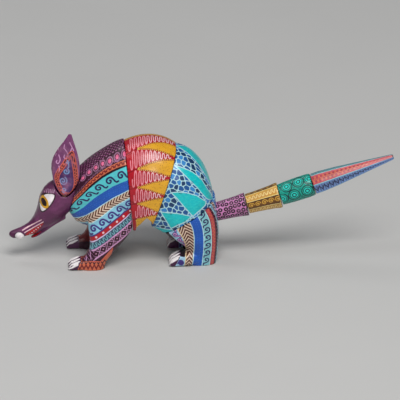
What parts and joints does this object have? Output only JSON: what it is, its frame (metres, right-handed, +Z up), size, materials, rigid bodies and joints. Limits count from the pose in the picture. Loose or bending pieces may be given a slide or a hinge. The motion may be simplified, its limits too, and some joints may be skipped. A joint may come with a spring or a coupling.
{
  "type": "alebrije figure",
  "caption": "Hand-painted carved wooden armadillo on four feet, with plug-in ears that lift out and a long segmented plug-in tail.",
  "frame": {"origin": "on the surface the feet stand on, under the middle of the figure's length and width", "axes": "+Z up, -X the way the head faces, +X towards the tail's tip, -Y the animal's left side"},
  "size_m": [0.3, 0.0598, 0.1047],
  "materials": {
    "plum_paint": "satin acrylic, mottled plum",
    "ear_paint": "satin acrylic, plum with painted scrolls and a coral-edged panel",
    "shoulder_paint": "satin acrylic, slanting patterned bands on near-black maroon",
    "sun_shell_paint": "satin acrylic, red and yellow wedges",
    "sea_shell_paint": "satin acrylic, teal wedges and blue cobbles",
    "haunch_paint": "satin acrylic, upright patterned bands",
    "pink_tail_paint": "satin acrylic, pink with plum rings",
    "gold_tail_paint": "satin acrylic, gold facets with brown scrolls",
    "green_tail_paint": "satin acrylic, green with pale rings",
    "coral_tail_paint": "satin acrylic, coral and blue facets",
    "peg_wood": "bare pale wood, matt"
  },
  "bodies": {
    "body": {"head": "plum_paint", "forequarters": "shoulder_paint", "middle_shell": "sun_shell_paint", "rear_shell": "sea_shell_paint", "hindquarters": "haunch_paint", "neck_peg": "peg_wood", "upper_spine_peg": "peg_wood", "lower_spine_peg": "peg_wood", "left_rump_peg": "peg_wood", "right_rump_peg": "peg_wood"},
    "left_ear_plug": {"left_ear_peg": "peg_wood"},
    "left_ear_leaf": {"left_ear": "ear_paint"},
    "right_ear_plug": {"right_ear_peg": "peg_wood"},
    "right_ear_leaf": {"right_ear": "ear_paint"},
    "tail_plug": {"tail_peg": "peg_wood"},
    "tail": {"tail_segment_1": "pink_tail_paint", "tail_segment_2": "gold_tail_paint", "tail_segment_3": "green_tail_paint", "tail_tip": "coral_tail_paint", "tail_dowel_1": "peg_wood", "tail_dowel_2": "peg_wood", "tail_dowel_3": "peg_wood"}
  },
  "joints": [
    {"name": "left_ear_lift", "type": "slide", "parent": "body", "child": "left_ear_plug", "axis": [0.097, 0.0654, 0.9931], "range_m": [0, 0.03]},
    {"name": "left_ear_turn", "type": "hinge", "parent": "left_ear_plug", "child": "left_ear_leaf", "pos_m": [-0.1068, -0.0087, 0.0565], "axis": [0.097, 0.0654, 0.9931], "range_deg": [-12, 12]},
    {"name": "right_ear_lift", "type": "slide", "parent": "body", "child": "right_ear_plug", "axis": [0.097, -0.0654, 0.9931], "range_m": [0, 0.03]},
    {"name": "right_ear_turn", "type": "hinge", "parent": "right_ear_plug", "child": "right_ear_leaf", "pos_m": [-0.1068, 0.0087, 0.0565], "axis": [0.097, -0.0654, 0.9931], "range_deg": [-12, 12]},
    {"name": "tail_pull", "type": "slide", "parent": "body", "child": "tail_plug", "axis": [0.9697, 0, 0.2443], "range_m": [0, 0.035]},
    {"name": "tail_turn", "type": "hinge", "parent": "tail_plug", "child": "tail", "pos_m": [0.01, 0, 0.035], "axis": [0.9697, 0, 0.2443], "continuous": true}
  ]
}
